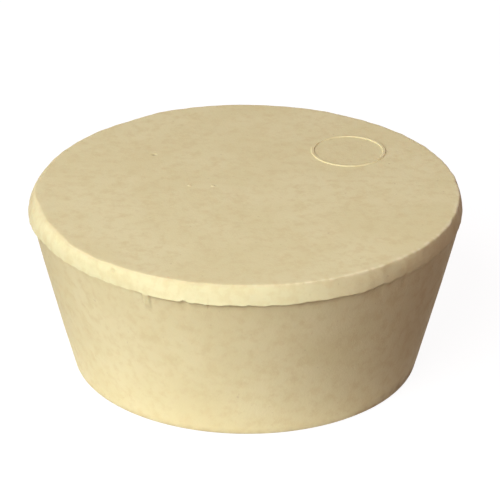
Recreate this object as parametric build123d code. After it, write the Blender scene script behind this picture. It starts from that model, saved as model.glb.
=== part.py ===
from build123d import *
import math
import os

# A solid tapered rubber stopper: one moulded plug, standing on its small end.
# It is turned about +Z. The origin is the middle of the base, on the surface it stands on.
# The two halves of its mould met at the foot of the rim, and the flash there was trimmed off.
# That left a small ledge under the rim, whose wall leans in towards the flat top.

# Driving dimensions of the plug, in millimetres
height = 26.4
base_diameter = 50.0
base_edge_radius = 0.5

# The rim round the top, widest at its foot
rim_diameter = 63.0
rim_height = 2.7
rim_top_inset = 0.8
rim_ledge = 0.45
rim_top_edge_radius = 0.3
rim_foot_edge_radius = 0.1

# The raised moulding ring on the top face
ring_diameter = 11.0
ring_line_width = 0.5
ring_rise = 0.2
ring_edge_radius = 0.1
ring_edge_gap = 4.8
ring_bearing_deg = 42.6

# The flash tag, a low ridge that runs down the wall from the ledge
tag_width = 1.25
tag_length = 3.0
tag_top_rise = 0.25
tag_tip_rise = 0.1
tag_bearing_deg = 243.7

# How deep an added feature is rooted in the plug
root_depth = 0.5

# Radii and heights that follow from the sizes above
base_radius = base_diameter / 2
rim_radius = rim_diameter / 2
top_radius = rim_radius - rim_top_inset
taper_top_radius = rim_radius - rim_ledge
rim_foot_height = height - rim_height


def taper_radius(level):
    """Radius of the tapered wall at a height above the base."""
    return base_radius + (taper_top_radius - base_radius) * level / rim_foot_height


def plug():
    """The turned plug: base, tapered wall, ledge, rim and flat top."""
    middle_base = (0, 0)
    base_corner = (base_radius, 0)
    ledge_corner = (taper_top_radius, rim_foot_height)
    rim_foot = (rim_radius, rim_foot_height)
    rim_top = (top_radius, height)
    middle_top = (0, height)
    with BuildPart() as built:
        with BuildSketch(Plane.XZ) as section:
            with BuildLine():
                Polyline(middle_base, base_corner, ledge_corner, rim_foot, rim_top, middle_top, close=True)
            make_face()
            for corner, radius in (
                (base_corner, base_edge_radius),
                (rim_foot, rim_foot_edge_radius),
                (rim_top, rim_top_edge_radius),
            ):
                fillet(section.vertices().sort_by_distance(corner)[0], radius)
        revolve(axis=Axis.Z)
    return built.part


def moulding_ring():
    """A plain raised ring on the top face, where an insert of the mould sat."""
    ring_radius = ring_diameter / 2
    distance = top_radius - ring_edge_gap - ring_radius
    bearing = math.radians(ring_bearing_deg)
    middle = (distance * math.cos(bearing), distance * math.sin(bearing))
    seat = Plane((*middle, height - root_depth))
    line = Circle(ring_radius) - Circle(ring_radius - ring_line_width)
    ring = extrude(seat * line, root_depth + ring_rise)
    crest = ring.edges().group_by(Axis.Z)[-1]
    return fillet(crest, ring_edge_radius)


def flash_tag():
    """A low ridge down the tapered wall, highest under the ledge."""
    tip_height = rim_foot_height - tag_length
    tip_radius = taper_radius(tip_height)
    rooted_radius = tip_radius - root_depth
    top_height = rim_foot_height + root_depth
    section = Plane.XZ * Polygon(
        (rooted_radius, tip_height),
        (tip_radius + tag_tip_rise, tip_height),
        (taper_top_radius + tag_top_rise, rim_foot_height),
        (taper_top_radius, top_height),
        (rooted_radius, top_height),
        align=None,
    )
    spread_deg = math.degrees(tag_width / taper_top_radius)
    ridge = revolve(section, Axis.Z, spread_deg)
    return ridge.rotate(Axis.Z, tag_bearing_deg - spread_deg / 2)


def stopper():
    """The whole stopper, as the one solid that it is."""
    return plug() + moulding_ring() + flash_tag()


os.makedirs("parts", exist_ok=True)
export_step(stopper(), "parts/stopper.step")
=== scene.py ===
import logging
import math
from collections.abc import Iterable
from dataclasses import dataclass, field
from enum import Enum
from typing import Any

import bmesh
import bpy
from mathutils import Matrix, Vector, geometry, noise


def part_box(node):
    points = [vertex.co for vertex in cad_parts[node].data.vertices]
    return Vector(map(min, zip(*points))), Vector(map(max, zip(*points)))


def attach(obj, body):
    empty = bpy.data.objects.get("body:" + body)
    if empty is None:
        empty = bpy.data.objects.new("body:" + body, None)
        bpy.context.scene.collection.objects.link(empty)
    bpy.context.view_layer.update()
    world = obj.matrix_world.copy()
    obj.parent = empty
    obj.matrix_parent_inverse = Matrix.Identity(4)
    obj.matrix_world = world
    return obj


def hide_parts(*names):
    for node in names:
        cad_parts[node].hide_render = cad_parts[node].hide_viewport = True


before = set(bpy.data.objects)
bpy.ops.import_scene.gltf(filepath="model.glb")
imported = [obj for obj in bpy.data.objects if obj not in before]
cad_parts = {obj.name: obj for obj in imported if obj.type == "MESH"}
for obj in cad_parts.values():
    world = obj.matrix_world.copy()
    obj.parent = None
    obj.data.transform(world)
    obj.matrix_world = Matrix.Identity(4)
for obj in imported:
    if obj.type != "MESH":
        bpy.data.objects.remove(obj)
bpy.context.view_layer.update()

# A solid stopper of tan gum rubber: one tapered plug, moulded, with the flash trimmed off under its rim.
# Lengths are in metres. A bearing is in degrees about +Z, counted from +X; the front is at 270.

MM = 0.001
TINY = 0.001 * MM
UP = Vector((0.0, 0.0, 1.0))
LOG = logging.getLogger("stopper")

Colour = tuple[float, float, float, float]
Span = tuple[float, float]


def paint(red: int, green: int, blue: int) -> Colour:
    """Turns a colour as it is seen, 0 to 255, into the linear one that a shader takes.

    Args:
        red: Red as seen.
        green: Green as seen.
        blue: Blue as seen.

    Returns:
        The linear colour, opaque.
    """
    toe, slope, offset, power, full = 0.04045, 12.92, 0.055, 2.4, 255.0

    def linear(value: float) -> float:
        """One channel from its seen share to its linear one."""
        return value / slope if value <= toe else ((value + offset) / (1.0 + offset)) ** power

    return linear(red / full), linear(green / full), linear(blue / full), 1.0


def at_bearing(bearing: float, radius: float, level: float) -> Vector:
    """The point at a bearing, a distance from the axis and a height above the base."""
    turn = math.radians(bearing)
    return Vector((radius * math.cos(turn), radius * math.sin(turn), level))


def step_to(bearing: float, elevation: float, distance: float) -> Vector:
    """The step from a target to the lamp or camera that points at it, with its elevation in degrees."""
    rise = math.radians(elevation)
    return at_bearing(bearing, distance * math.cos(rise), distance * math.sin(rise))


def bearing_of(place: Vector) -> float:
    """Bearing of a point in degrees, from 0 to 360."""
    return math.degrees(math.atan2(place.y, place.x)) % 360.0


def turn_between(bearing: float, other: float) -> float:
    """Shortest turn from one bearing to another, in degrees, never below zero."""
    return abs((bearing - other + 180.0) % 360.0 - 180.0)


def round_noise(bearing: float, waves: float, seed: float) -> float:
    """Smooth noise along a circle, about -1 to 1, with about so many waves in a turn."""
    return noise.noise(at_bearing(bearing, waves / math.tau, seed))


def fade(distance: float, reach: float) -> float:
    """Smooth weight: 1 at no distance, falling to 0 at the reach."""
    share = min(abs(distance) / reach, 1.0)
    return (1.0 - share * share) ** 2


def ramp(value: float, start: float, end: float) -> float:
    """Smooth step: 0 before the start, 1 after the end."""
    share = min(max((value - start) / (end - start), 0.0), 1.0)
    return share * share * (3.0 - 2.0 * share)


def swell(share: float) -> float:
    """Even swell along a run: 0 at both its ends, 1 half way."""
    return 4.0 * share * (1.0 - share)


def off_line(place: Vector, start: Vector, end: Vector) -> float:
    """Distance from a point to a stretch of line between two ends."""
    share = geometry.intersect_point_line(place, start, end)[1]
    return (place - start.lerp(end, min(max(share, 0.0), 1.0))).length


class Relief(Enum):
    """Which way a small mark stands on the skin."""

    PIT = -1.0
    PIMPLE = 1.0


@dataclass(frozen=True)
class SkinMark:
    """A pit or a pimple that the mould left.

    Attributes:
        relief: Whether it stands in or out.
        spot: Its middle, on the skin.
        facing: Which way the skin faces there.
        radius: Half its width.
        depth: How far it stands in or out.
        darkening: Share of darker tone in its middle.
    """

    relief: Relief
    spot: Vector
    facing: Vector
    radius: float
    depth: float
    darkening: float = 0.0

    def weight(self, place: Vector) -> float:
        """How near a point is to the mark's middle: 1 there, 0 from its edge on."""
        return fade((place - self.spot).length, self.radius)

    def push(self, place: Vector) -> Vector:
        """How the mark moves a point of the skin."""
        return self.facing * self.relief.value * self.depth * self.weight(place)

    def grime_and_shade(self, place: Vector) -> float:
        """Share of darker tone that the mark gives a point of the skin."""
        return self.darkening * self.weight(place)


@dataclass(frozen=True)
class Station:
    """A corner of a half section, and the run that starts there.

    Attributes:
        radius: Distance from the axis of the spin.
        level: Height above the spin's centre.
        setback: How far along its runs the corner's rounding starts; 0 leaves it sharp.
        spacing: Longest edge on the run after the corner.
    """

    radius: float
    level: float
    setback: float = 0.0
    spacing: float = 1.0

    def point(self) -> Vector:
        """The corner in the plane of the section."""
        return Vector((self.radius, 0.0, self.level))


def distinct(parts: Iterable[Any]) -> list[Any]:
    """Lists parts once each, in the order in which they come."""
    return list(dict.fromkeys(parts))


def wire_edges(bm: bmesh.types.BMesh) -> list[bmesh.types.BMEdge]:
    """The edges that carry no face yet."""
    return [edge for edge in bm.edges if edge.is_wire]


def passing(edges: list[bmesh.types.BMEdge], spot: Vector, reach: float) -> list[bmesh.types.BMEdge]:
    """Those of the edges that pass within a reach of a spot."""
    return [edge for edge in edges if off_line(spot, edge.verts[0].co, edge.verts[1].co) < reach]


def edges_near(bm: bmesh.types.BMesh, spot: Vector, reach: float) -> list[bmesh.types.BMEdge]:
    """Finds the edges of a mesh that pass near a spot.

    Args:
        bm: The mesh.
        spot: The spot.
        reach: How near they pass.

    Returns:
        The edges, in the mesh's own order.
    """
    margin = 4.0 * MM
    near = [vert for vert in bm.verts if (vert.co - spot).length < reach + margin]
    return passing(distinct(edge for vert in near for edge in vert.link_edges), spot, reach)


def turn_section(bm: bmesh.types.BMesh, section: list[Station], steps: int) -> None:
    """Draws a half section, rounds and divides it, and spins it into a skin.

    An eighth of the turn is spun and doubled three times, which is quicker than a full spin.

    Args:
        bm: Mesh that takes the skin.
        section: The corners, in order.
        steps: Steps in the full turn, a multiple of 8.
    """
    rounding_segments, sectors = 5, 8
    eighth = math.tau / sectors
    corners = [bm.verts.new(station.point()) for station in section]
    for pair in zip(corners, corners[1:]):
        bm.edges.new(pair)
    for corner, station in zip(corners, section):
        if station.setback:
            bmesh.ops.bevel(
                bm, geom=[corner], offset=station.setback, offset_type="OFFSET", affect="VERTICES",
                segments=rounding_segments, profile=0.5, material=-1,
            )

    for edge in wire_edges(bm):
        middle = (edge.verts[0].co + edge.verts[1].co) / 2
        runs = zip(section, section[1:])
        run = min(runs, key=lambda ends: off_line(middle, ends[0].point(), ends[1].point()))[0]
        cuts = math.ceil(edge.calc_length() / run.spacing) - 1
        if cuts > 0:
            bmesh.ops.subdivide_edges(bm, edges=[edge], cuts=cuts)
    wires = wire_edges(bm)
    ends = distinct(vert for edge in wires for vert in edge.verts)
    bmesh.ops.spin(
        bm, geom=[*ends, *wires], cent=(0.0, 0.0, 0.0), axis=UP, dvec=(0.0, 0.0, 0.0), angle=eighth,
        steps=steps // sectors, use_merge=False, use_normal_flip=False, use_duplicate=False,
    )
    for turn in (eighth, 2 * eighth, 4 * eighth):
        copy = bmesh.ops.duplicate(bm, geom=[*bm.verts, *bm.edges, *bm.faces])
        verts = [part for part in copy["geom"] if isinstance(part, bmesh.types.BMVert)]
        bmesh.ops.rotate(bm, verts=verts, cent=(0.0, 0.0, 0.0), matrix=Matrix.Rotation(turn, 3, "Z"))
    bmesh.ops.remove_doubles(bm, verts=bm.verts, dist=TINY)


def divide_bent_faces(bm: bmesh.types.BMesh) -> None:
    """Divides from its middle each face with a straight corner, so that it parts into sound triangles.

    Args:
        bm: The mesh.
    """
    straight = math.radians(178.0)
    corners, plain = 4, 3
    bent = [
        face for face in bm.faces
        if len(face.verts) > corners
        or len(face.verts) > plain and any(loop.calc_angle() > straight for loop in face.loops)
    ]
    bmesh.ops.poke(bm, faces=bent)


def new_object(name: str, data: bpy.types.ID) -> bpy.types.Object:
    """Puts a mesh, a lamp or a camera in the scene.

    Args:
        name: Name of the object.
        data: What it shows.

    Returns:
        The object.
    """
    made = bpy.data.objects.new(name, data)
    bpy.context.scene.collection.objects.link(made)
    return made


def mesh_object(name: str, bm: bmesh.types.BMesh) -> bpy.types.Object:
    """Puts a worked mesh in the scene, and frees what it was worked in.

    Args:
        name: Name of the object and of its mesh.
        bm: The worked mesh.

    Returns:
        The object.
    """
    mesh = bpy.data.meshes.new(name)
    bm.to_mesh(mesh)
    bm.free()
    return new_object(name, mesh)


@dataclass
class NodeBench:
    """A node tree with short calls to lay nodes and join them.

    Attributes:
        tree: The tree that is worked on.
    """

    tree: bpy.types.NodeTree

    def add(self, kind: str, **settings: Any) -> bpy.types.Node:
        """Lays a node.

        Args:
            kind: Blender's name for the node.
            **settings: Properties to set on it.

        Returns:
            The node.
        """
        node = self.tree.nodes.new(kind)
        for name, value in settings.items():
            setattr(node, name, value)
        return node

    def put(self, sink: bpy.types.NodeSocket, value: Any) -> None:
        """Links an input to a socket, or sets it to a constant.

        Args:
            sink: The input.
            value: A socket or a constant.
        """
        if isinstance(value, bpy.types.NodeSocket):
            self.tree.links.new(value, sink)
        else:
            sink.default_value = value

    def feed(self, node: bpy.types.Node, **values: Any) -> bpy.types.Node:
        """Sets or links a node's inputs.

        Args:
            node: The node.
            **values: Input name, with underscores for spaces, to a socket or a constant.

        Returns:
            The same node.
        """
        for name, value in values.items():
            title = name.replace("_", " ")
            self.put(next(s for s in node.inputs if s.enabled and s.name == title), value)
        return node

    def result(self, node: bpy.types.Node) -> bpy.types.NodeSocket:
        """The node's first output in use."""
        return next(s for s in node.outputs if s.enabled)

    def join(self, node: bpy.types.Node, first: Any, second: Any) -> bpy.types.NodeSocket:
        """Feeds the two inputs that a node brings together, the last ones that it has in use.

        Args:
            node: A node that multiplies, compares, adds or mixes.
            first: A socket or a constant.
            second: A socket or a constant.

        Returns:
            What the node makes of them.
        """
        sinks = [s for s in node.inputs if s.enabled][-2:]
        for sink, value in zip(sinks, (first, second)):
            self.put(sink, value)
        return self.result(node)

    def grain(
        self, place: bpy.types.NodeSocket, size: float, detail: float = 2.0, roughness: float = 0.5
    ) -> bpy.types.NodeSocket:
        """Lays a noise whose swells are about a size across.

        Args:
            place: Coordinates in metres.
            size: Width of a swell.
            detail: How many finer layers it has.
            roughness: How strong those are.

        Returns:
            The noise, about 0.5 on average.
        """
        node = self.add("ShaderNodeTexNoise")
        self.feed(node, Vector=place, Scale=1.0 / size, Detail=detail, Roughness=roughness)
        return node.outputs["Fac"]

    def span(
        self, value: bpy.types.NodeSocket, start: float, end: float, low: float = 0.0, high: float = 1.0
    ) -> bpy.types.NodeSocket:
        """Stretches a range of values onto another, held at its ends.

        Args:
            value: What is stretched.
            start: Value that gives low.
            end: Value that gives high.
            low: First result.
            high: Last result.

        Returns:
            The stretched value.
        """
        node = self.add("ShaderNodeMapRange", interpolation_type="SMOOTHSTEP")
        self.feed(node, Value=value, From_Min=start, From_Max=end, To_Min=low, To_Max=high)
        return self.result(node)

    def times(self, first: bpy.types.NodeSocket, second: Any) -> bpy.types.NodeSocket:
        """Product of a value with a socket or a number."""
        return self.join(self.add("ShaderNodeMath", operation="MULTIPLY"), first, second)

    def blend(self, share: Any, first: Any, second: Any) -> bpy.types.NodeSocket:
        """Mixes two colours.

        Args:
            share: How much of the second there is.
            first: A colour or a socket.
            second: A colour or a socket.

        Returns:
            The mixed colour.
        """
        node = self.add("ShaderNodeMix", data_type="RGBA")
        self.feed(node, Factor=share, A=first, B=second)
        return self.result(node)

    def mark(self, name: str) -> bpy.types.NodeSocket:
        """A value that the piece's own mesh carries."""
        node = self.add("ShaderNodeAttribute", attribute_type="GEOMETRY", attribute_name=name)
        return node.outputs["Fac"]

    def seen_directly(self) -> bpy.types.NodeSocket:
        """Tells the rays that show a background: from the camera, off a gloss or through glass.

        Returns:
            1 for such a ray, 0 for one that only brings light.
        """
        rays = self.add("ShaderNodeLightPath").outputs
        seen = rays["Is Camera Ray"]
        for other in ("Is Glossy Ray", "Is Transmission Ray"):
            seen = self.join(self.add("ShaderNodeMath", operation="MAXIMUM"), seen, rays[other])
        return seen

    def backdrop(self, lit: bpy.types.NodeSocket, seen: bpy.types.NodeSocket) -> bpy.types.NodeSocket:
        """Mixes two shaders: what brings light to the stopper, and what is seen behind it."""
        mix = self.feed(self.add("ShaderNodeMixShader"), Fac=self.seen_directly())
        return self.join(mix, lit, seen)


def new_material(name: str) -> tuple[bpy.types.Material, NodeBench]:
    """Makes a material with an empty node tree.

    Args:
        name: Name of the finish.

    Returns:
        The material and the bench for its tree.
    """
    material = bpy.data.materials.new(name)
    material.use_nodes = True
    material.node_tree.nodes.clear()
    return material, NodeBench(material.node_tree)


# The trimmed band's own pale colour, with painted light: it is laid strongest on the side towards the
# lamp.
TRIM_AND_LIGHT_MARK = "trimmed_band_and_light"
# Grime and painted shade: painted shade and dirt under the ledge, painted shade beside the tag and round
# the base, darker in nicks and pits.
GRIME_AND_SHADE_MARK = "grime_and_shade"
# Painted highlight: pale specks along the top's edge, strongest on the right side near bearing 325.
EDGE_HIGHLIGHT_MARK = "edge_highlight"


@dataclass(frozen=True)
class GumRubber:
    """Matte tan gum rubber: a mottled moulded skin, paler and streaked where the flash was trimmed, with
    painted light that keeps the trimmed band palest towards the lamp.

    Attributes:
        skin: Main colour of the moulded skin.
        skin_pale: Paler clouds in it.
        skin_warm: Warmer small blotches in it.
        trim_cream: Freshly trimmed rubber, laid most on the side towards the lamp, as painted light.
        trim_dull: Duller blotches along the trimmed band.
        edge_highlight_pale: Painted highlight specks on the top's edge.
        grime_and_shade_brown: Dark brown laid under the rim as painted shade and dirt, as painted shade
            beside the tag and round the base, and in the nicks and pits.
        speck_brown: Small specks in the rubber.
        cloud_size: Width of the pale clouds.
        blotch_size: Width of the warm blotches.
        speckle_size: Width of the finest mottling.
        grain_size: Width of the grain that is felt.
        streak_length: Length of a knife streak.
        streak_width: Width of a knife streak.
        grain_height: Height of the grain.
        streak_height: Height of the knife streaks.
        cloud_span: Stretch of the cloud noise over which the pale clouds come in.
        blotch_span: Stretch of the blotch noise over which the warm blotches come in.
        dull_span: The same for the dull blotches of the trimmed band.
        speck_span: Stretch of the finest noise over which the specks come in.
        speck_share: How strong the specks are.
        edge_highlight_share: How strong the painted highlight specks are.
        darkening_span: Stretch of the blotch noise over which the grime and painted shade come to their
            full strength.
        darkening_least: How strong the grime and painted shade are before that.
        rough_span: Stretch of the blotch noise over which the skin gets rougher.
        roughness: Least and greatest roughness.
        gloss: Level of the skin's reflection.
        soak_weight: Share of the light that soaks into the skin.
        soak_reach: How far it soaks in.
        soak_shares: How far its red, green and blue do, as shares of the reach.
    """

    skin: Colour = paint(224, 217, 170)
    skin_pale: Colour = paint(228, 222, 177)
    skin_warm: Colour = paint(220, 210, 162)
    trim_cream: Colour = paint(237, 237, 190)
    trim_dull: Colour = paint(231, 228, 178)
    edge_highlight_pale: Colour = paint(242, 236, 199)
    grime_and_shade_brown: Colour = paint(150, 124, 84)
    speck_brown: Colour = paint(176, 152, 108)
    cloud_size: float = 11.0 * MM
    blotch_size: float = 1.5 * MM
    speckle_size: float = 0.7 * MM
    grain_size: float = 0.35 * MM
    streak_length: float = 4.0 * MM
    streak_width: float = 0.35 * MM
    grain_height: float = 0.032 * MM
    streak_height: float = 0.012 * MM
    cloud_span: Span = (0.35, 0.65)
    blotch_span: Span = (0.42, 0.75)
    dull_span: Span = (0.4, 0.65)
    speck_span: Span = (0.69, 0.8)
    speck_share: float = 0.3
    edge_highlight_share: float = 0.85
    darkening_span: Span = (0.3, 0.6)
    darkening_least: float = 0.5
    rough_span: Span = (0.3, 0.7)
    roughness: Span = (0.68, 0.84)
    gloss: float = 0.35
    soak_weight: float = 0.1
    soak_reach: float = 1.2 * MM
    soak_shares: tuple[float, float, float] = (1.0, 0.55, 0.3)

    def material(self) -> bpy.types.Material:
        """Builds the finish on Object coordinates and the plug's own marks.

        Returns:
            The material.
        """
        material, bench = new_material("gum_rubber")
        place = bench.add("ShaderNodeTexCoord").outputs["Object"]
        cloud = bench.grain(place, self.cloud_size, detail=3.0)
        blotch = bench.grain(place, self.blotch_size, detail=4.0, roughness=0.6)
        speckle = bench.grain(place, self.speckle_size, detail=2.0)
        streak = self.streaks(bench, place)
        trim_and_light, grime_and_shade, edge = (bench.mark(name) for name in (TRIM_AND_LIGHT_MARK, GRIME_AND_SHADE_MARK, EDGE_HIGHLIGHT_MARK))

        colour = bench.blend(bench.span(cloud, *self.cloud_span), self.skin, self.skin_pale)
        colour = bench.blend(bench.span(blotch, *self.blotch_span), colour, self.skin_warm)
        specks = bench.times(bench.span(speckle, *self.speck_span), self.speck_share)
        colour = bench.blend(specks, colour, self.speck_brown)
        trimmed = bench.blend(bench.span(blotch, *self.dull_span), self.trim_cream, self.trim_dull)
        # The trimmed band's pale colour, strongest towards the lamp: partly the trim's own colour,
        # partly painted light.
        colour = bench.blend(trim_and_light, colour, trimmed)
        # Painted highlight specks along the top's edge.
        colour = bench.blend(bench.times(edge, self.edge_highlight_share), colour, self.edge_highlight_pale)
        # Grime and painted shade darken the skin under the ledge, in the nicks and pits, beside the tag
        # and round the base.
        darkening = bench.times(grime_and_shade, bench.span(blotch, *self.darkening_span, low=self.darkening_least))
        colour = bench.blend(darkening, colour, self.grime_and_shade_brown)

        shader = bench.add("ShaderNodeBsdfPrincipled")
        bench.feed(
            shader,
            Base_Color=colour,
            Roughness=bench.span(blotch, *self.rough_span, *self.roughness),
            Specular_IOR_Level=self.gloss,
            Subsurface_Weight=self.soak_weight,
            Subsurface_Radius=self.soak_shares,
            Subsurface_Scale=self.soak_reach,
            Normal=self.relief(bench, place, streak, trim_and_light),
        )
        bench.feed(bench.add("ShaderNodeOutputMaterial"), Surface=bench.result(shader))
        return material

    def streaks(self, bench: NodeBench, place: bpy.types.NodeSocket) -> bpy.types.NodeSocket:
        """Lays fine lines along the trimmed band, long across and narrow in height.

        Args:
            bench: Bench of the material.
            place: Object coordinates.

        Returns:
            The streaks' noise.
        """
        stretch = self.streak_length / self.streak_width
        turned = bench.add("ShaderNodeMapping")
        bench.feed(turned, Vector=place, Scale=(1.0, 1.0, stretch))
        return bench.grain(bench.result(turned), self.streak_length, detail=3.0, roughness=0.6)

    def relief(
        self,
        bench: NodeBench,
        place: bpy.types.NodeSocket,
        streak: bpy.types.NodeSocket,
        trim_and_light: bpy.types.NodeSocket,
    ) -> bpy.types.NodeSocket:
        """Lays the grain all over, under the knife's streaks on the trimmed band.

        Args:
            bench: Bench of the material.
            place: Object coordinates.
            streak: The knife's streaks.
            trim_and_light: Where the skin is trimmed, strongest towards the lamp as painted light.

        Returns:
            The normal.
        """
        grain = bench.add("ShaderNodeBump")
        fine = bench.grain(place, self.grain_size, detail=3.0, roughness=0.65)
        bench.feed(grain, Height=fine, Distance=self.grain_height, Strength=1.0)
        lines = bench.add("ShaderNodeBump")
        bench.feed(
            lines, Height=bench.times(streak, trim_and_light), Distance=self.streak_height, Strength=1.0,
            Normal=bench.result(grain),
        )
        return bench.result(lines)


@dataclass
class MouldingRing:
    """The plain raised ring on the top, where an insert of the mould sat.

    Attributes:
        rise: Height over the top.
        diameter: Width over the outside.
        line: Width of the raised line.
        edge_setback: Rounding of its crest and foot.
        draft: How far each side leans in on its way up.
        wear: How far its crest is worn down.
        bearing: Where it lies about the plug's axis.
        off_axis: Distance of its middle from the plug's axis.
        margin: Flat width that goes with it.
        spacing: Longest edge on its section.
        disc_spacing: Longest edge on the disc inside it.
    """

    rise: float = 0.2 * MM
    diameter: float = 11.0 * MM
    line: float = 0.5 * MM
    edge_setback: float = 0.1 * MM
    draft: float = 0.04 * MM
    wear: float = 0.05 * MM
    bearing: float = 42.6
    off_axis: float = 20.4 * MM
    margin: float = 0.5 * MM
    spacing: float = 0.15 * MM
    disc_spacing: float = 1.5 * MM

    def half_section(self, level: float) -> list[Station]:
        """Its half section on a flat, from the flat round it to its middle.

        Args:
            level: Height of the flat.

        Returns:
            The corners, in order.
        """
        outer = self.diameter / 2
        inner = outer - self.line
        crest = level + self.rise - self.wear
        return [
            Station(outer + self.margin, level, spacing=self.spacing),
            Station(outer, level, self.edge_setback, self.spacing),
            Station(outer - self.draft, crest, self.edge_setback, self.spacing),
            Station(inner + self.draft, crest, self.edge_setback, self.spacing),
            Station(inner, level, self.edge_setback, self.disc_spacing),
            Station(0.0, level),
        ]

    def move_aside(self, bm: bmesh.types.BMesh, level: float, still_radius: float) -> None:
        """Moves the ring from the axis to its place, and lets the flat round it follow.

        Args:
            bm: The plug's mesh, spun with the ring on its axis.
            level: Height of the flat.
            still_radius: From here outwards nothing moves.
        """
        aside = at_bearing(self.bearing, self.off_axis, 0.0)
        whole = self.diameter / 2 + self.margin
        for vert in bm.verts:
            radius = vert.co.xy.length
            if vert.co.z > level - TINY and radius < still_radius:
                vert.co += aside * min((still_radius - radius) / (still_radius - whole), 1.0)


@dataclass
class FlashTag:
    """The low ridge of flash that runs down the wall from the ledge.

    Attributes:
        bearing: Where its middle is.
        width: Width over its foot.
        length: How far it runs down.
        rise: Height under the ledge.
        tip_rise: Height at its lower end.
        soft_side: Width of its gentle left side.
        steep_side: Width of its steep right side.
        tip_run: How far its lower end is rounded off.
        crease: Width of the painted shade along each side.
    """

    bearing: float = 243.7
    width: float = 1.25 * MM
    length: float = 3.0 * MM
    rise: float = 0.25 * MM
    tip_rise: float = 0.1 * MM
    soft_side: float = 0.3 * MM
    steep_side: float = 0.14 * MM
    tip_run: float = 1.3 * MM
    crease: float = 0.26 * MM

    def across(self, bearing: float, radius: float) -> float:
        """How far a point is to the right of the tag's middle, along the wall."""
        return math.radians(bearing - self.bearing) * radius

    def height(self, bearing: float, radius: float, drop: float) -> float:
        """How far the tag stands out of the wall at a point.

        Args:
            bearing: The point's bearing.
            radius: Its distance from the axis.
            drop: How far it is below the ledge.

        Returns:
            The height.
        """
        across = self.across(bearing, radius)
        half = self.width / 2
        flank = ramp(across, -half, -half + self.soft_side)
        flank *= 1.0 - ramp(across, half - self.steep_side, half)
        ridge = self.rise + (self.tip_rise - self.rise) * min(drop / self.length, 1.0)
        return ridge * flank * (1.0 - ramp(drop, self.length - self.tip_run, self.length))

    def grime_and_shade(self, bearing: float, radius: float, drop: float) -> float:
        """How much painted shade lies in the creases beside the tag at a point.

        Args:
            bearing: The point's bearing.
            radius: Its distance from the axis.
            drop: How far it is below the ledge.

        Returns:
            The share of painted shade, more along the steep side, which is turned from the lamp.
        """
        # Painted shade: darker along the steep right side, turned from the lamp, than along the soft
        # left side.
        steep_share, soft_share = 0.27, 0.2
        across, half = self.across(bearing, radius), self.width / 2
        steep = steep_share * fade(across - half, self.crease)
        soft = soft_share * fade(across + half, self.crease)
        return max(steep, soft) * fade(drop, self.length)


@dataclass(frozen=True)
class RimPlace:
    """A stretch of the rim that stands further in than the rest.

    Attributes:
        bearing: Where its middle is.
        reach: How far round it goes each way, in degrees.
        inset: How far the rim draws in there.
        lift: How far the band's foot rises there.
        level_share: Share of the reach over which it is whole.
    """

    bearing: float
    reach: float
    inset: float
    lift: float = 0.0
    level_share: float = 0.6

    def share(self, bearing: float) -> float:
        """How far the place has its way at a bearing: 1 in its middle, 0 outside."""
        return 1.0 - ramp(turn_between(bearing, self.bearing), self.level_share * self.reach, self.reach)


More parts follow.
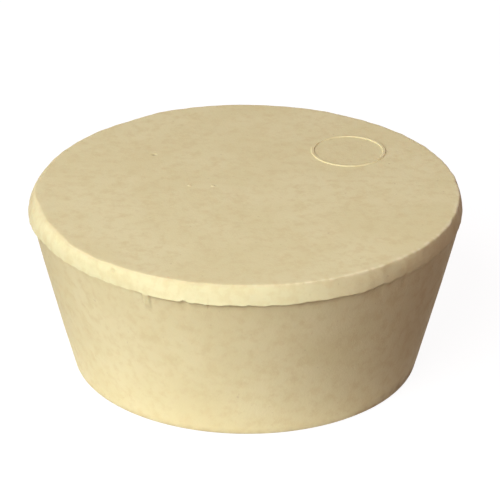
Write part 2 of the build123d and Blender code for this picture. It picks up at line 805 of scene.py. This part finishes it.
@dataclass
class StopperPlug:
    """The plug: base, tapered wall, ledge, rim band and top, with the marks that the work left.

    Attributes:
        low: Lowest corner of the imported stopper.
        high: Its highest corner.
        ring: The raised ring on the top.
        tag: The flash tag under the ledge.
        marks: Pits and pimples.
        tick_bearings: Where the knife nicked the foot of the band and the wall under it.
        base_radius: Radius of the base, before its edge is rounded.
        base_setback: Rounding of the base's edge.
        wall_bow: How far the wall swells half way up.
        wall_swell: Height of the wall's unevenness.
        wall_swell_size: Width of that unevenness.
        band_height: Height of the rim band.
        band_top_inset: How far the top's edge stands in from the band's foot, where the rim is widest.
        band_bulge: How far the band swells between its edges.
        foot_setback: Rounding of the band's foot.
        top_setback: Rounding of the top's edge.
        ledge: Width of the ledge under the band.
        ledge_drop: How far the ledge slopes down to the wall.
        ledge_setback: Rounding of the corner between the ledge and the wall.
        top_margin: Width of the top's border, which lies still when the ring moves aside.
        foot_tilt: How far the foot leans, lowest at the low bearing.
        foot_low_bearing: Where the band's foot is lowest.
        flush_places: Where the rim's foot was trimmed so close that the ledge runs out.
        lean_places: Where the band leans further in towards the top.
        foot_wave: How far the band's foot wanders up and down.
        foot_nick: Depth of the nicks in it.
        foot_burr: How far it frays outwards.
        edge_wave: How far the top's edge wanders in and out.
        tick_width: Width of a knife nick on the wall.
        tick_length: Length of a knife nick.
        tick_depth: Depth of a knife nick.
        tick_notch: How far a knife nick cuts up into the band's foot.
        steps: Steps round the plug.
    """

    low: Vector
    high: Vector
    ring: MouldingRing = field(default_factory=MouldingRing)
    tag: FlashTag = field(default_factory=FlashTag)
    marks: list[SkinMark] = field(default_factory=list)
    tick_bearings: tuple[float, ...] = (254.8, 260.5)
    base_radius: float = 25.0 * MM
    base_setback: float = 0.39 * MM
    wall_bow: float = 0.1 * MM
    wall_swell: float = 0.05 * MM
    wall_swell_size: float = 7.0 * MM
    band_height: float = 2.7 * MM
    band_top_inset: float = 0.8 * MM
    band_bulge: float = 0.05 * MM
    foot_setback: float = 0.1 * MM
    top_setback: float = 0.2 * MM
    ledge: float = 0.45 * MM
    ledge_drop: float = 0.32 * MM
    ledge_setback: float = 0.2 * MM
    top_margin: float = 2.0 * MM
    foot_tilt: float = 0.1 * MM
    foot_low_bearing: float = 225.0
    flush_places: tuple[RimPlace, ...] = (
        RimPlace(bearing=222.0, reach=28.0, inset=0.42 * MM),
        RimPlace(bearing=345.0, reach=48.0, inset=0.32 * MM, lift=0.16 * MM),
    )
    lean_places: tuple[RimPlace, ...] = (
        RimPlace(bearing=200.0, reach=22.0, inset=0.62 * MM, level_share=0.3),
        RimPlace(bearing=147.0, reach=34.0, inset=0.64 * MM),
    )
    foot_wave: float = 0.16 * MM
    foot_nick: float = 0.16 * MM
    foot_burr: float = 0.07 * MM
    edge_wave: float = 0.2 * MM
    tick_width: float = 0.4 * MM
    tick_length: float = 1.2 * MM
    tick_depth: float = 0.1 * MM
    tick_notch: float = 0.05 * MM
    steps: int = 720

    @property
    def rim_radius(self) -> float:
        """Radius of the rim at the band's foot, where it is widest."""
        return (self.high.x - self.low.x) / 2

    @property
    def top_level(self) -> float:
        """Height of the top, without the ring."""
        return self.high.z - self.ring.rise

    @property
    def top_radius(self) -> float:
        """Radius of the top's edge, before it is rounded."""
        return self.rim_radius - self.band_top_inset

    @property
    def foot_level(self) -> float:
        """Height of the band's foot."""
        return self.top_level - self.band_height

    @property
    def ledge_radius(self) -> float:
        """Radius of the wall at the height of the band's foot, if it went on up to there."""
        return self.rim_radius - self.ledge

    @property
    def corner_level(self) -> float:
        """Height of the corner between the ledge and the wall."""
        return self.foot_level - self.ledge_drop

    @property
    def middle(self) -> Vector:
        """Middle of the plug, which the lamps and the camera point at."""
        return UP * self.top_level / 2

    def wall_radius(self, level: float) -> float:
        """Radius of the straight tapered wall at a height."""
        share = (level - self.low.z) / (self.foot_level - self.low.z)
        return self.base_radius + (self.ledge_radius - self.base_radius) * share

    def on_band(self, level: float) -> bool:
        """Whether a height of the true turned form is on the rim band, the ledge or its corner."""
        return self.corner_level - self.ledge_setback < level < self.top_level - TINY

    def half_section(self) -> list[Station]:
        """Lays out the plug's half section, from the middle of the base to the middle of the top.

        Returns:
            The corners, in order, with the ring still on the axis.
        """
        base_spacing, wall_spacing, fine_spacing = 4.0 * MM, 0.8 * MM, 0.32 * MM
        ledge_spacing, band_spacing, edge_spacing = 0.1 * MM, 0.25 * MM, 0.6 * MM
        fine_drop, flat_spacing = 4.5 * MM, 2.0 * MM
        base_level = self.low.z
        fine_level = self.foot_level - fine_drop
        corner_radius = self.wall_radius(self.corner_level)
        return [
            Station(0.0, base_level, spacing=base_spacing),
            Station(self.base_radius, base_level, self.base_setback, wall_spacing),
            Station(self.wall_radius(fine_level), fine_level, spacing=fine_spacing),
            Station(corner_radius, self.corner_level, self.ledge_setback, ledge_spacing),
            Station(self.rim_radius, self.foot_level, self.foot_setback, band_spacing),
            Station(self.top_radius, self.top_level, self.top_setback, edge_spacing),
            Station(self.top_radius - self.top_margin, self.top_level, spacing=flat_spacing),
            *self.ring.half_section(self.top_level),
        ]

    def build(self) -> bpy.types.Object:
        """Models the plug.

        Returns:
            The finished piece, without its finish.
        """
        bm = bmesh.new()
        turn_section(bm, self.half_section(), self.steps)
        self.ring.move_aside(bm, self.top_level, self.top_radius - self.top_margin)
        bmesh.ops.recalc_face_normals(bm, faces=bm.faces)
        self.refine_marks(bm)
        self.note_finish(bm)
        self.settle(bm)
        self.press_marks(bm)
        piece = mesh_object("stopper_plug", bm)
        piece.data.shade_smooth()
        return piece

    def refine(self, bm: bmesh.types.BMesh, spot: Vector, reach: float, longest: float) -> None:
        """Divides the edges round a spot until none there is too long for a small mark.

        Args:
            bm: The mesh.
            spot: Middle of the mark.
            reach: How far round it the edges are divided.
            longest: Longest edge that may stay.
        """
        edges = edges_near(bm, spot, reach)
        while edges := [edge for edge in passing(edges, spot, reach) if edge.calc_length() > longest]:
            cut = bmesh.ops.subdivide_edges(bm, edges=edges, cuts=1, use_grid_fill=True)
            edges = [part for part in cut["geom"] if isinstance(part, bmesh.types.BMEdge)]

    def cut_cells(self, bm: bmesh.types.BMesh, mark: SkinMark, spacing: float) -> None:
        """Cuts the flat top under a mark into small cells.

        Args:
            bm: The mesh.
            mark: The mark.
            spacing: Width of a cell.
        """
        edges = edges_near(bm, mark.spot, mark.radius)
        faces = distinct(face for edge in edges for face in edge.link_faces)
        sides = distinct(edge for face in faces for edge in face.edges)
        corners = distinct(vert for face in faces for vert in face.verts)
        geom = [*faces, *sides, *corners]
        count = math.ceil(mark.radius / spacing)
        for across in (Vector((1.0, 0.0, 0.0)), Vector((0.0, 1.0, 0.0))):
            for step in range(-count, count + 1):
                place = mark.spot + across * spacing * step
                cut = bmesh.ops.bisect_plane(bm, geom=geom, dist=TINY, plane_co=place, plane_no=across)
                geom = cut["geom"]

    def refine_marks(self, bm: bmesh.types.BMesh) -> None:
        """Divides the skin where it carries a small mark, a knife nick or the tag.

        Args:
            bm: The mesh.
        """
        fine_share, reach_share = 0.3, 1.3
        for mark in self.marks:
            if mark.facing == UP:
                self.cut_cells(bm, mark, mark.radius * fine_share)
            else:
                self.refine(bm, mark.spot, mark.radius * reach_share, mark.radius * fine_share)
        tick_level = self.foot_level - self.tick_length / 2
        for bearing in self.tick_bearings:
            spot = at_bearing(bearing, self.wall_radius(tick_level), tick_level)
            self.refine(bm, spot, self.tick_length, self.tick_width * fine_share)
        tag_level = self.foot_level - self.tag.length / 2
        spot = at_bearing(self.tag.bearing, self.wall_radius(tag_level), tag_level)
        self.refine(bm, spot, self.tag.length * reach_share / 2, self.tag.steep_side)
        divide_bent_faces(bm)

    def note_finish(self, bm: bmesh.types.BMesh) -> None:
        """Writes on each vertex how far it is trimmed, with painted light towards the lamp, how dark it
        is with grime and painted shade, and its painted highlight on the top's edge, for the finish.

        Args:
            bm: The mesh, still in its true turned form.
        """
        trim_rise, trim_least, top_reach, edge_reach = 1.1 * MM, 0.7, 0.5 * MM, 0.5 * MM
        trim_lamp_bearing, trim_lamp_turn, trim_shade_turn, trim_shade_share = 240.0, 36.0, 64.0, 0.05
        tick_share, tick_rise, tag_share = 0.25, 0.9 * MM, 0.6
        speck_waves, speck_start, speck_end = 240.0, -0.15, 0.25
        highlight_bearing, highlight_reach, highlight_least = 325.0, 75.0, 0.1
        layers = bm.verts.layers.float
        trim_and_light, grime_and_shade, edge = (layers.new(name) for name in (TRIM_AND_LIGHT_MARK, GRIME_AND_SHADE_MARK, EDGE_HIGHLIGHT_MARK))
        corner = Vector((self.top_radius, self.top_level))
        for vert in bm.verts:
            radius, level, bearing = vert.co.xy.length, vert.co.z, bearing_of(vert.co)
            rise = level - self.foot_level
            if rise > -TINY:
                # Painted light: the band's trimmed paleness is whole near bearing 240, by the lamp, and
                # fades to the wall's colour on the shaded side.
                away_from_lamp = ramp(turn_between(bearing, trim_lamp_bearing), trim_lamp_turn, trim_shade_turn)
                cut = 1.0 - (1.0 - trim_shade_share) * away_from_lamp
                cut *= max(fade(rise, trim_rise), trim_least)
                vert[trim_and_light] = cut * ramp(self.top_level - level, 0.0, top_reach)
                nick = tick_share * self.tick_at(bearing, radius, drop=0.0)
                vert[grime_and_shade] = nick * fade(rise, tick_rise)
            else:
                vert[grime_and_shade] = self.grime_and_shade_at(bearing, radius, level)
                vert[trim_and_light] = tag_share * self.tag.height(bearing, radius, drop=-rise) / self.tag.rise
            # Painted highlight along the top's edge, in specks, strongest near bearing 325 on the right.
            highlight = (1.0 - highlight_least) * fade(turn_between(bearing, highlight_bearing), highlight_reach)
            highlight += highlight_least
            highlight *= ramp(round_noise(bearing, speck_waves, seed=41.0), speck_start, speck_end)
            vert[edge] = highlight * fade((Vector((radius, level)) - corner).length, edge_reach)
            vert[grime_and_shade] = max(vert[grime_and_shade], *(mark.grime_and_shade(vert.co) for mark in self.marks))

    def grime_and_shade_at(self, bearing: float, radius: float, level: float) -> float:
        """How dark the wall is painted: painted shade and dirt in the corner under the ledge, darker in
        the knife nicks, painted contact shade round the base and painted shade beside the tag.

        Args:
            bearing: Bearing of the point.
            radius: Its distance from the axis.
            level: Its height.

        Returns:
            The share of grime and painted shade.
        """
        corner_reach, corner_share, corner_waves = 0.8 * MM, 0.24, 26.0
        patch_start, patch_end = -0.6, 0.4
        base_rise, base_more_rise, base_share, base_more_share = 0.7 * MM, 2.0 * MM, 0.3, 0.6
        base_bearing, base_turn, base_level_turn, tick_share = 350.0, 57.0, 15.0, 0.32
        drop = self.foot_level - level
        flush = max(place.share(bearing) for place in self.flush_places)
        patchy = ramp(round_noise(bearing, corner_waves, seed=31.0), patch_start, patch_end)
        # Painted shade and dirt in the corner under the ledge's overhang, left out where the ledge runs
        # out.
        corner = corner_share * fade(level - self.corner_level, corner_reach) * (1.0 - flush) * patchy
        # Painted contact shade round the base, taller and darker towards bearing 350 on the shaded side,
        # away from the lamp.
        shaded_side = 1.0 - ramp(turn_between(bearing, base_bearing), base_level_turn, base_turn)
        base = base_share + base_more_share * shaded_side
        base *= fade(level - self.low.z, base_rise + base_more_rise * shaded_side)
        tick = tick_share * self.tick_at(bearing, radius, drop)
        return max(corner, base, tick, self.tag.grime_and_shade(bearing, radius, drop))

    def tick_at(self, bearing: float, radius: float, drop: float) -> float:
        """How far into a knife nick a point is: 1 in its middle under the ledge, 0 outside it."""
        across = min(abs(math.radians(bearing - tick)) * radius for tick in self.tick_bearings)
        return fade(across, self.tick_width / 2) * fade(drop, self.tick_length)

    def settle(self, bm: bmesh.types.BMesh) -> None:
        """Moves the skin from its true turned form to the uneven one of moulded and cut rubber.

        Args:
            bm: The mesh.
        """
        for vert in bm.verts:
            place = vert.co.copy()
            radius, level = place.xy.length, place.z
            if radius < self.base_radius / 2 or level < self.low.z + TINY:
                continue
            bearing = bearing_of(place)
            if level > self.top_level - TINY:
                shift, lift = self.top_shift(bearing, radius), 0.0
            elif self.on_band(level):
                shift, lift = self.band_shift(bearing, radius, level)
            else:
                shift, lift = self.wall_shift(place, bearing, radius, level)
            vert.co = at_bearing(bearing, radius + shift, level + lift)

    def edge_shift(self, bearing: float, share: float) -> float:
        """How far the band's skin moves out near the top's edge.

        Args:
            bearing: Bearing of the point.
            share: How far up the band it is, 1 at the top's edge.

        Returns:
            The shift outwards.
        """
        edge_waves, edge_seed, wave_power, lean_power = 90.0, 3.0, 5, 3
        wave = self.edge_wave * round_noise(bearing, edge_waves, edge_seed)
        lean = sum(place.inset * place.share(bearing) for place in self.lean_places)
        return wave * share ** wave_power - lean * share ** lean_power

    def top_shift(self, bearing: float, radius: float) -> float:
        """How far the top's skin moves out, to follow its edge.

        Args:
            bearing: Bearing of the point.
            radius: Its distance from the axis.

        Returns:
            The shift outwards.
        """
        edge_reach = 1.9 * MM
        edge = self.top_radius - self.top_setback
        return self.edge_shift(bearing, share=1.0) * fade(edge - radius, edge_reach)

    def foot_lift(self, bearing: float) -> float:
        """How far the ragged foot of the band stands above its mean height.

        Args:
            bearing: Where on the foot.

        Returns:
            The lift, below zero where the foot hangs lower.
        """
        broad_waves, short_waves, nick_waves, nick_start = 9.0, 150.0, 240.0, 0.1
        short_share = 1.5
        lift = -self.foot_tilt * math.cos(math.radians(bearing - self.foot_low_bearing))
        lift += sum(place.lift * place.share(bearing) for place in self.flush_places)
        lift += self.foot_wave * round_noise(bearing, broad_waves, seed=11.0)
        lift += self.foot_wave * short_share * round_noise(bearing, short_waves, seed=12.0)
        nick = max(round_noise(bearing, nick_waves, seed=13.0) - nick_start, 0.0)
        lift += self.tick_notch * self.tick_at(bearing, self.rim_radius, drop=0.0)
        return lift + self.foot_nick * nick / (1.0 - nick_start)

    def band_shift(self, bearing: float, radius: float, level: float) -> tuple[float, float]:
        """How a point of the rim band or the ledge moves.

        Args:
            bearing: Its bearing.
            radius: Its distance from the axis.
            level: Its height.

        Returns:
            The shift outwards and the lift.
        """
        chatter, chatter_waves, chatter_rows, burr_waves = 0.03 * MM, 40.0, 3.0, 90.0
        if level < self.foot_level - TINY:
            wall = self.wall_radius(level)
            out = max(radius - wall, 0.0) / (self.rim_radius - wall)
            foot_shift, lift = self.band_shift(bearing, self.rim_radius, self.foot_level)
            wall_shift = self.wall_shift(at_bearing(bearing, radius, level), bearing, radius, level)[0]
            return wall_shift + (foot_shift - wall_shift) * out, lift
        share = (level - self.foot_level) / self.band_height
        belly = swell(share)
        shift = self.band_bulge * belly
        shift += chatter * belly * round_noise(bearing, chatter_waves, seed=chatter_rows * share)
        shift += self.foot_burr * round_noise(bearing, burr_waves, seed=21.0) * (1.0 - share) ** 2
        inset = sum(place.inset * place.share(bearing) for place in self.flush_places)
        shift -= inset * (1.0 - share) ** 2
        shift += self.edge_shift(bearing, share)
        return shift, self.foot_lift(bearing) * (1.0 - share)

    def wall_shift(
        self, place: Vector, bearing: float, radius: float, level: float
    ) -> tuple[float, float]:
        """How a point of the wall moves.

        Args:
            place: The point.
            bearing: Its bearing.
            radius: Its distance from the axis.
            level: Its height.

        Returns:
            The shift outwards and the lift.
        """
        foot_reach, swell_gain = 3.0 * MM, 2.0
        share = (level - self.low.z) / (self.foot_level - self.low.z)
        drop = max(self.foot_level - level, 0.0)
        belly = swell(share)
        uneven = noise.noise(place / self.wall_swell_size) * min(belly * swell_gain, 1.0)
        shift = self.wall_bow * belly + self.wall_swell * uneven
        shift += self.tag.height(bearing, radius, drop)
        shift -= self.tick_depth * self.tick_at(bearing, radius, drop)
        return shift, self.foot_lift(bearing) * fade(drop, foot_reach)

    def press_marks(self, bm: bmesh.types.BMesh) -> None:
        """Presses the pits in and raises the pimples.

        Args:
            bm: The mesh.
        """
        for mark in self.marks:
            for vert in bm.verts:
                vert.co += mark.push(vert.co)


@dataclass(frozen=True)
class PaperFloor:
    """The sheet of white paper that the stopper stands on.

    Attributes:
        radius: Half its width.
        sink: How far it lies under the base, so that the two faces are apart.
        card_bearing: Which way the white card on it is moved, towards the lamp.
        card_shift: How far it is moved.
        near_radius: Where the card's full white ends.
        far_radius: Where it has gone over to grey.
        white: The card.
        grey: Paper further off, a warm grey.
        glow: Plain white of the background, as the camera sees it.
        shade: How strongly the camera sees light and shadow on it.
    """

    radius: float = 0.8
    sink: float = 0.02 * MM
    card_bearing: float = 236.0
    card_shift: float = 17.0 * MM
    near_radius: float = 21.0 * MM
    far_radius: float = 48.0 * MM
    white: Colour = paint(228, 228, 228)
    grey: Colour = paint(94, 79, 65)
    glow: float = 0.93
    shade: float = 0.17

    def build(self) -> bpy.types.Object:
        """Lays the paper.

        Returns:
            The sheet, with its finish.
        """
        segments = 96
        bm = bmesh.new()
        bmesh.ops.create_circle(bm, cap_ends=True, segments=segments, radius=self.radius)
        bmesh.ops.translate(bm, verts=bm.verts, vec=-UP * self.sink)
        floor = mesh_object("paper_floor", bm)
        floor.data.materials.append(self.material())
        return floor

    def material(self) -> bpy.types.Material:
        """Builds white paper that keeps the shadow and reads as a white background.

        Returns:
            The material.
        """
        material, bench = new_material("white_paper")
        place = bench.add("ShaderNodeTexCoord").outputs["Object"]
        moved = bench.add("ShaderNodeMapping")
        bench.feed(moved, Vector=place, Location=-at_bearing(self.card_bearing, self.card_shift, 0.0))
        reach = bench.add("ShaderNodeVectorMath", operation="LENGTH")
        bench.feed(reach, Vector=bench.result(moved))
        off = bench.span(reach.outputs["Value"], self.near_radius, self.far_radius)
        tone = bench.blend(off, self.white, self.grey)
        paper = bench.feed(bench.add("ShaderNodeBsdfDiffuse"), Color=tone)
        white = bench.feed(bench.add("ShaderNodeEmission"), Strength=self.glow)
        faint = (self.shade, self.shade, self.shade, 1.0)
        shadow = bench.feed(bench.add("ShaderNodeBsdfDiffuse"), Color=faint)
        seen = bench.join(bench.add("ShaderNodeAddShader"), bench.result(white), bench.result(shadow))
        surface = bench.backdrop(bench.result(paper), seen)
        bench.feed(bench.add("ShaderNodeOutputMaterial"), Surface=surface)
        return material


@dataclass(frozen=True)
class SoftLamp:
    """A round soft lamp that points at the stopper.

    Attributes:
        name: The lamp's name.
        bearing: Where it stands.
        elevation: How high it stands, in degrees.
        distance: How far off it is.
        width: Its diameter.
        watts: Its power.
        colour: Its light.
    """

    name: str
    bearing: float
    elevation: float
    distance: float
    width: float
    watts: float
    colour: tuple[float, float, float] = (1.0, 1.0, 1.0)

    def place(self, target: Vector) -> None:
        """Sets the lamp up.

        Args:
            target: What it points at.
        """
        lamp = bpy.data.lights.new(self.name, type="AREA")
        lamp.shape = "DISK"
        lamp.size = self.width
        lamp.energy = self.watts
        lamp.color = self.colour
        back = step_to(self.bearing, self.elevation, self.distance)
        holder = new_object(self.name, lamp)
        holder.location = target + back
        holder.rotation_euler = back.to_track_quat("Z", "Y").to_euler()
        holder.visible_camera = False


@dataclass(frozen=True)
class Studio:
    """The plain light round the stopper: one low lamp at the front left, and the room.

    Attributes:
        lamps: The lamps.
        walls: Light of the room's warm walls.
        ceiling: Light of its ceiling.
        height_span: Heights, as shares, between which the walls go over to the ceiling.
        background: What is seen behind the stopper.
    """

    lamps: tuple[SoftLamp, ...] = (
        SoftLamp("window_lamp", bearing=234.0, elevation=36.0, distance=0.5, width=0.5, watts=2.96),
    )
    walls: Colour = (0.42, 0.205, 0.2, 1.0)
    ceiling: Colour = (0.25, 0.185, 0.185, 1.0)
    height_span: Span = (0.1, 0.7)
    background: Colour = (1.0, 1.0, 1.0, 1.0)

    def build(self, target: Vector) -> None:
        """Sets up the lamps and the room.

        Args:
            target: What the lamps point at.
        """
        for lamp in self.lamps:
            lamp.place(target)
            LOG.info("lamp %s: %.2f W", lamp.name, lamp.watts)
        world = bpy.data.worlds.new("white_room")
        world.use_nodes = True
        world.node_tree.nodes.clear()
        bench = NodeBench(world.node_tree)
        facing = bench.add("ShaderNodeSeparateXYZ")
        bench.feed(facing, Vector=bench.add("ShaderNodeTexCoord").outputs["Generated"])
        high = bench.span(facing.outputs["Z"], *self.height_span)
        room = bench.blend(high, self.walls, self.ceiling)
        light = bench.feed(bench.add("ShaderNodeBackground"), Color=room, Strength=1.0)
        white = bench.feed(bench.add("ShaderNodeBackground"), Color=self.background, Strength=1.0)
        surface = bench.backdrop(bench.result(light), bench.result(white))
        bench.feed(bench.add("ShaderNodeOutputWorld"), Surface=surface)
        bpy.context.scene.world = world
        bpy.context.scene.view_settings.view_transform = "Standard"


@dataclass(frozen=True)
class PhotoCamera:
    """A long lens in front of the stopper, looking down on it.

    Attributes:
        bearing: Where it stands, at the front.
        elevation: How far it looks down, in degrees.
        distance_share: Its distance from the middle of the plug, in rim radii.
        roll: How far it leans, in degrees.
        image_px: Width and height of the image.
        middle_px: Where the middle of the plug falls in the image.
        rim_radius_px: The rim's radius in the image.
        sensor_mm: Width of the film.
    """

    bearing: float = 270.0
    elevation: float = 26.45
    distance_share: float = 16.0
    roll: float = 0.39
    image_px: float = 500.0
    middle_px: tuple[float, float] = (245.9, 272.0)
    rim_radius_px: float = 215.8
    sensor_mm: float = 36.0

    def place(self, plug: StopperPlug) -> None:
        """Sets the camera up.

        Args:
            plug: What it looks at.
        """
        back = step_to(self.bearing, self.elevation, self.distance_share * plug.rim_radius)
        lens = bpy.data.cameras.new("photo_camera")
        lens.sensor_width = self.sensor_mm
        lens.lens = self.rim_radius_px / self.image_px * self.sensor_mm * self.distance_share
        lens.shift_x = (self.image_px / 2 - self.middle_px[0]) / self.image_px
        lens.shift_y = (self.middle_px[1] - self.image_px / 2) / self.image_px
        camera = new_object("photo_camera", lens)
        camera.location = plug.middle + back
        camera.rotation_euler = back.to_track_quat("Z", "Y").to_euler()
        camera.rotation_euler.rotate_axis("Z", math.radians(self.roll))
        bpy.context.scene.camera = camera


def skin_marks(plug: StopperPlug) -> list[SkinMark]:
    """The pits and pimples that show on the plug.

    Args:
        plug: The plug that carries them.

    Returns:
        The marks.
    """
    depth, pit_radius, left_radius, right_radius = 0.12 * MM, 0.5 * MM, 0.35 * MM, 0.4 * MM
    top_darkening, band_darkening = 0.5, 0.22
    top_pit = Vector((-13.64 * MM, 12.09 * MM, plug.top_level))
    left_pimple = Vector((-8.25 * MM, 1.37 * MM, plug.top_level))
    right_pimple = Vector((-4.83 * MM, 1.25 * MM, plug.top_level))
    band_bearing, band_drop, band_inset = 233.5, 0.75 * MM, 0.58 * MM
    band_pit = at_bearing(band_bearing, plug.rim_radius - band_inset, plug.top_level - band_drop)
    outwards = at_bearing(band_bearing, 1.0, 0.0)
    return [
        SkinMark(Relief.PIT, top_pit, UP, pit_radius, depth, top_darkening),
        SkinMark(Relief.PIMPLE, left_pimple, UP, left_radius, depth),
        SkinMark(Relief.PIMPLE, right_pimple, UP, right_radius, depth),
        SkinMark(Relief.PIT, band_pit, outwards, pit_radius, depth, band_darkening),
    ]


def main() -> None:
    """Builds the stopper, its studio and its camera."""
    logging.basicConfig(level=logging.INFO, format="%(message)s")
    low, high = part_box("stopper")
    plug = StopperPlug(low=Vector(low), high=Vector(high))
    plug.marks = skin_marks(plug)
    piece = plug.build()
    piece.data.materials.append(GumRubber().material())
    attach(piece, "root")
    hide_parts("stopper")
    LOG.info("piece %s: %d faces", piece.name, len(piece.data.polygons))
    floor = PaperFloor().build()
    LOG.info("stage %s", floor.name)
    Studio().build(plug.middle)
    PhotoCamera().place(plug)


if __name__ == "__main__":
    main()
